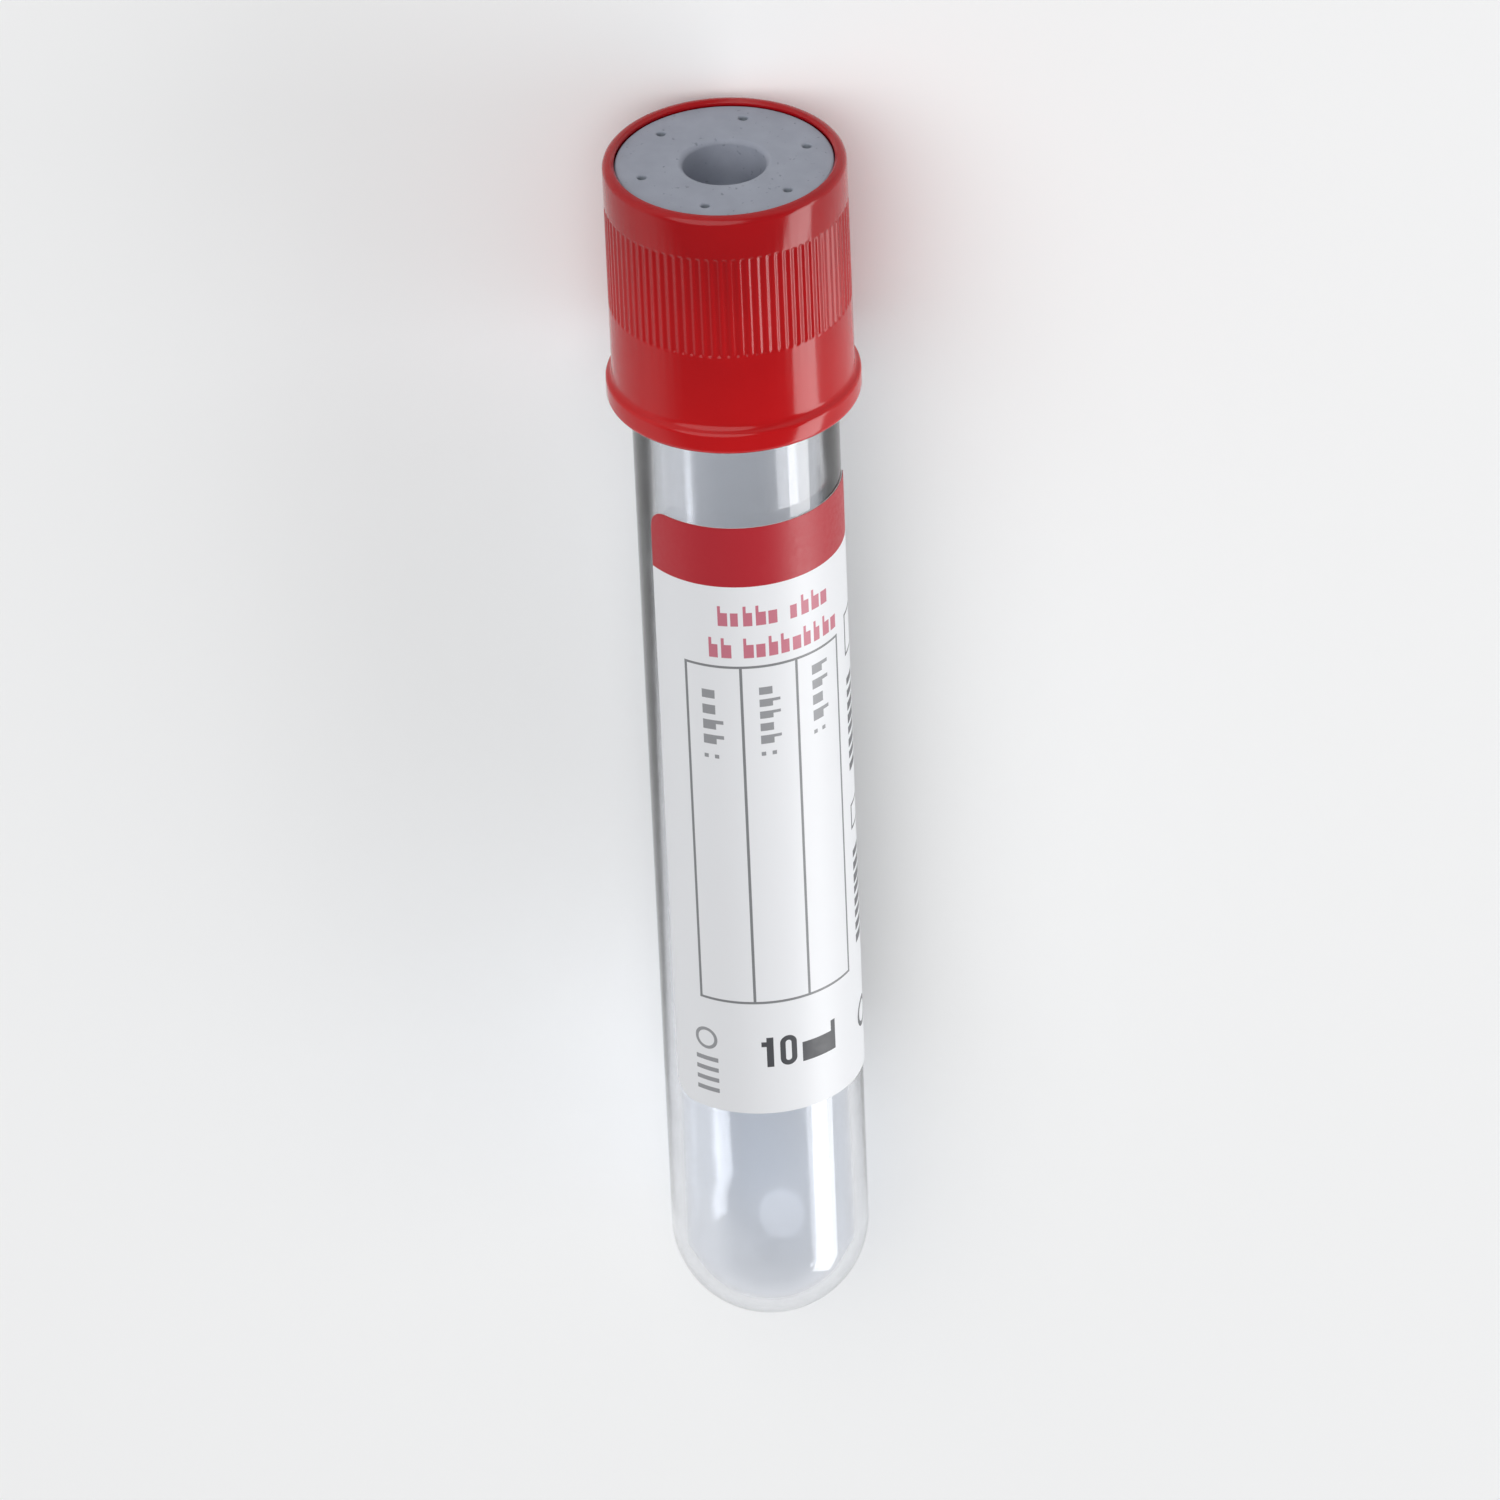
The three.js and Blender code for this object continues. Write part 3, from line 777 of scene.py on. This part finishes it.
def face_profile():
    """The top face, with fine rings where the dimples are, and the well."""
    outer, inner = DIMPLE_CIRCLE + DIMPLE_BAND, DIMPLE_CIRCLE - DIMPLE_BAND
    well_floor = STOPPER_TOP - WELL_DEPTH
    well = eased([
        (5.5, STOPPER_TOP, 0),
        (WELL_RADIUS, STOPPER_TOP, WELL_MOUTH_ROUND),
        (WELL_RADIUS - WELL_DRAFT, well_floor, WELL_FLOOR_ROUND),
        (0, well_floor, 0),
    ], steps=8)
    return [*((radius, STOPPER_TOP) for radius in np.arange(outer, inner, -DIMPLE_RING_STEP)), *well]


def make_stopper():
    profile = [*plug_profile(), *flange_profile(), *face_profile()]
    vertices, faces = turned_mesh(profile, STOPPER_SIDES, closed=False, relief=dimples)
    piece = new_piece("grey_stopper", vertices, faces, "closure", grey_rubber())
    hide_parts("rubber_stopper")


# ---- Bench, light and camera, in metres --------------------------------------------------

BENCH_HALF = 3.0
BENCH_COLOUR = (0.885, 0.89, 0.895)
FADE_START, FADE_END = 0.12, 0.6  # from the tube, where the bench turns into background
WHITE_BAND_START, WHITE_BAND_END = math.radians(15), math.radians(35)  # above the horizon
WORLD_LIGHT = 0.3
WHITE = (1, 1, 1, 1)

CAMERA_DISTANCE = 1.2
CAMERA_RISE = math.radians(30.7)  # above the plane square to the tube, as seen from its cap
CAMERA_LEAN = math.radians(2.5)
CAMERA_TARGET = 51.5  # millimetres up the tube
CAMERA_LENS, CAMERA_SENSOR = 380, 36


def make_world():
    """Soft light from all round, behind which a white band is seen from the horizon up."""
    world = bpy.data.worlds.new("studio")
    bpy.context.scene.world = world
    world.use_nodes = True
    n = Tree(world.node_tree)
    light = n.tree.nodes["Background"]
    light.inputs["Color"].default_value = WHITE
    light.inputs["Strength"].default_value = WORLD_LIGHT
    seen = n.add("ShaderNodeBackground")
    seen.inputs["Color"].default_value = WHITE
    split = n.add("ShaderNodeSeparateXYZ")
    n.feed(n.add("ShaderNodeTexCoord").outputs["Generated"], split.inputs[0])
    low = n.remap(split.outputs["Z"], math.sin(WHITE_BAND_END), math.sin(WHITE_BAND_START), 0, 1)
    share = n.maths("MULTIPLY", low, n.background_ray())
    n.shade(share, light.outputs[0], seen.outputs[0], n.tree.nodes["World Output"])


def make_bench():
    """A white bench that far from the tube is seen as plain white, like the world behind it."""
    half = BENCH_HALF
    corners = [(-half, -half, 0), (half, -half, 0), (half, half, 0), (-half, half, 0)]
    mesh = bpy.data.meshes.new("bench")
    mesh.from_pydata(corners, [], [(0, 1, 2, 3)])
    n = Nodes("bench_white")
    n.set(Base_Color=BENCH_COLOUR, Roughness=0.9, Specular_IOR_Level=0.2)
    from_tube = n.add("ShaderNodeVectorMath", operation="LENGTH")
    n.feed(n.add("ShaderNodeTexCoord").outputs["Object"], from_tube.inputs[0])
    far = n.remap(from_tube.outputs["Value"], FADE_START, FADE_END, 0, 1)
    share = n.maths("MULTIPLY", far, n.background_ray())
    white = n.add("ShaderNodeEmission")
    n.shade(share, n.shader.outputs[0], white.outputs[0], n.out)
    mesh.materials.append(n.material)
    bench = bpy.data.objects.new("bench", mesh)
    bpy.context.scene.collection.objects.link(bench)


def make_softbox(name, shape, place, size, power):
    """A lamp at a place, facing the tube. Its power is in watts."""
    data = bpy.data.lights.new(name, "AREA")
    data.shape = shape
    data.size, data.size_y = size
    data.energy = power
    lamp = bpy.data.objects.new(name, data)
    bpy.context.scene.collection.objects.link(lamp)
    lamp.location = place
    lamp.rotation_mode = "QUATERNION"
    lamp.rotation_quaternion = (-Vector(place)).to_track_quat("-Z", "Y")


def make_camera():
    """Looks down on the lying tube, so that it stands upright in the picture."""
    data = bpy.data.cameras.new("camera")
    data.sensor_width = CAMERA_SENSOR
    data.lens = CAMERA_LENS
    data.clip_start, data.clip_end = 0.01, 20
    camera = bpy.data.objects.new("camera", data)
    bpy.context.scene.collection.objects.link(camera)
    toward = uphill * math.cos(CAMERA_RISE) + tube_axis * math.sin(CAMERA_RISE)
    camera.location = cap_face + toward * CAMERA_DISTANCE
    target = tube_foot + tube_axis * CAMERA_TARGET * MM
    look = (target - camera.location).normalized()
    right = look.cross(tube_axis).normalized()
    up = right.cross(look)
    basis = Matrix((right, up, -look)).transposed()
    camera.rotation_mode = "QUATERNION"
    camera.rotation_quaternion = (basis @ Matrix.Rotation(-CAMERA_LEAN, 3, "Z")).to_quaternion()
    bpy.context.scene.camera = camera


bpy.context.scene.view_settings.view_transform = "Standard"
make_camera()
make_world()
make_bench()
make_softbox("window", "RECTANGLE", place=(-0.35, -0.78, 0.26), size=(0.9, 0.38), power=5.4)
make_softbox("overhead", "ELLIPSE", place=(0.5, 0.35, 1.0), size=(1.5, 1.5), power=11.5)

make_tube()
make_label()
make_shield()
make_stopper()
